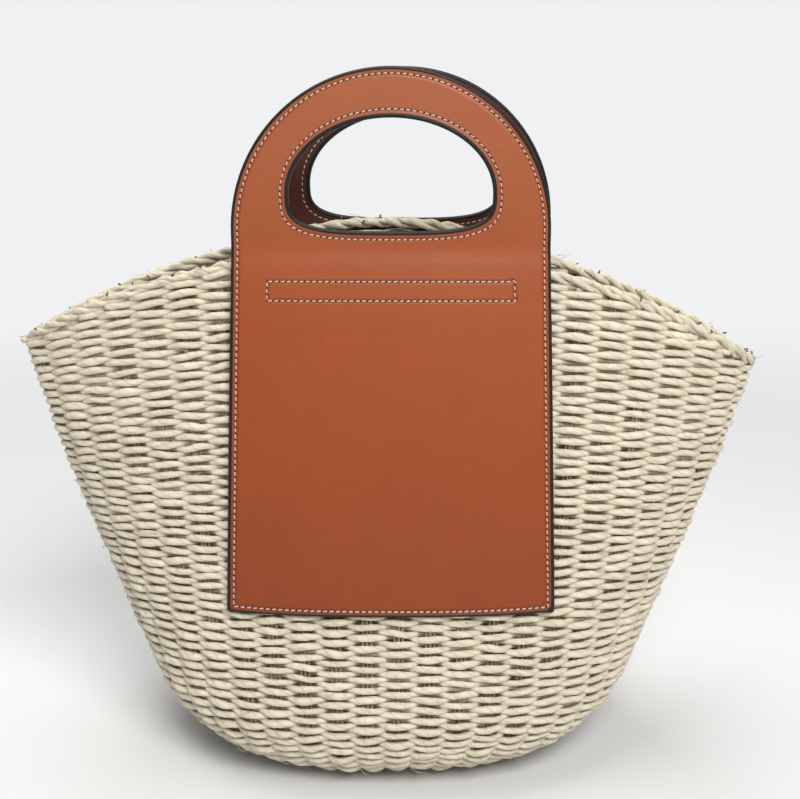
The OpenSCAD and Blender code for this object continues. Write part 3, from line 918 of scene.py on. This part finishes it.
def even_steps(loop, pitch, closed=True):
    """Places and directions a stitch length apart along a line."""
    line = np.vstack([loop, loop[:1]]) if closed else loop
    run = np.r_[0, np.cumsum(np.linalg.norm(np.diff(line, axis=0), axis=1))]
    count = round(run[-1] / pitch)
    mid = (np.arange(count) + 0.5) * run[-1] / count
    spot, ahead, behind = (np.c_[np.interp(at, run, line[:, 0]), np.interp(at, run, line[:, 1])]
                           for at in (mid, mid + 0.4, mid - 0.4))
    way = np.arctan2(ahead[:, 1] - behind[:, 1], ahead[:, 0] - behind[:, 0])
    return spot, way, run[-1] / count


def stitch_rows(name, rows, back):
    sewn, pierced = [], []
    t = np.linspace(-1, 1, 6)
    for loop, level, closed in rows:
        facing = 1 if level > 1 else -1
        spots, ways, pitch = even_steps(loop, STITCH_PITCH, closed)
        for (x, y), way in zip(spots, ways):
            slant = way + rng.normal(STITCH_SLANT, 0.04)
            reach = STITCH_REACH * rng.uniform(0.94, 1.04)
            rise = level + facing * (0.16 - 0.42 * np.abs(t) ** 3)
            line = np.c_[x + t * reach * math.cos(slant), y + t * reach * math.sin(slant), rise]
            sewn.append((line / MM, (1 - 0.72 * np.abs(t) ** 3) * rng.uniform(0.93, 1.07)))
            hx, hy = x + math.cos(way) * pitch / 2, y + math.sin(way) * pitch / 2
            deep = level + facing * np.array([-0.2, 0.04, 0.09])
            pierced.append((np.c_[[hx] * 3, [hy] * 3, deep] / MM, np.array([1.0, 1.0, 0.5])))
    made = []
    for label, runs, outline, material in (("stitches", sewn, stitch_outline, thread),
                                           ("needle_holes", pierced, hole_outline, needle)):
        mesh = sweep(name + label, runs, outline)
        bm = bmesh.new()
        bm.from_mesh(mesh)
        bpy.data.meshes.remove(mesh)
        bmesh.ops.holes_fill(bm, edges=[e for e in bm.edges if e.is_boundary], sides=0)
        laid_mesh(bm, back)
        made.append(mesh_object(name + "_" + label, bm, material))
    print(name, "stitches:", len(sewn))
    return made


stitch_outline = swept_section("stitch_outline", 390, 380, 7)
hole_outline = swept_section("hole_outline", 640, 640, 7)
HOLE_SEAM_IN, OUTSIDE, INSIDE = 4.1, STACK + 0.02, -0.02
tab_frame = np.array([(-ANCHOR_HALF, ANCHOR_LOW), (ANCHOR_HALF, ANCHOR_LOW),
                      (ANCHOR_HALF, ANCHOR_HIGH), (-ANCHOR_HALF, ANCHOR_HIGH)], float)
# On the lining the edge seam runs over the arch only, from right to left.
arch = outline_loop(SEAM_IN, -34)
arch = arch[arch[:, 1] > -28]
arch = np.roll(arch, -int(np.argmax(arch[:, 0] > 70)), axis=0)
rows = [(outline_loop(SEAM_IN), OUTSIDE, True), (hole_loop(HOLE_SEAM_IN), OUTSIDE, True),
        (tab_frame, OUTSIDE, True), (arch, INSIDE, False), (hole_loop(HOLE_SEAM_IN), INSIDE, True)]
for side, back in SIDES:
    leather[side] += stitch_rows(side, rows, back)

# %% [markdown]
# ## The weave rides on the imported basket
# The weave, stakes, base core, border, fibres and cut ends are attached to the basket body. The
# leather pieces keep the shape they were laid in and are not attached to a body. The imported parts
# that all these pieces stand for are hidden.
# %% Bodies and stand-ins
for piece in weave:
    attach(piece, "basket")
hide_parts("base_weave")
for piece in weave[1:]:
    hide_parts("wall_weave")
for piece, slot in ((core, "straw"), (stakes, "stake_cord"), (border, "straw"),
                    (fibres, "straw"), (cut_ends, "stake_cord")):
    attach(piece, "basket")
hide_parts("base_weave")
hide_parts("stakes")
for piece in (border, fibres, cut_ends):
    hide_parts("rim_border")

stands_for = (("panel", "handle_face"), ("anchor_tab", "handle_lining"), ("handle_core",),
              ("panel_seam", "anchor_seam", "handle_edge_seam", "handle_hole_seam"), ("panel_seam",))
slots = ("tan_leather", "dark_leather", "core_board", "thread", "tan_leather")
for side, back in SIDES:
    y = FLEX_Y * (1 if back else -1) * MM
    for piece, nodes, slot in zip(leather[side], stands_for, slots):
        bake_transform(piece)
        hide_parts(*[side + "_" + node for node in nodes])

for helper in (weft_outline, stake_outline, border_outline, fibre_outline, bead_outline,
               stitch_outline, hole_outline):
    data = helper.data
    bpy.data.objects.remove(helper)
    bpy.data.curves.remove(data)
print("leather pieces on each side:", len(leather["front"]))
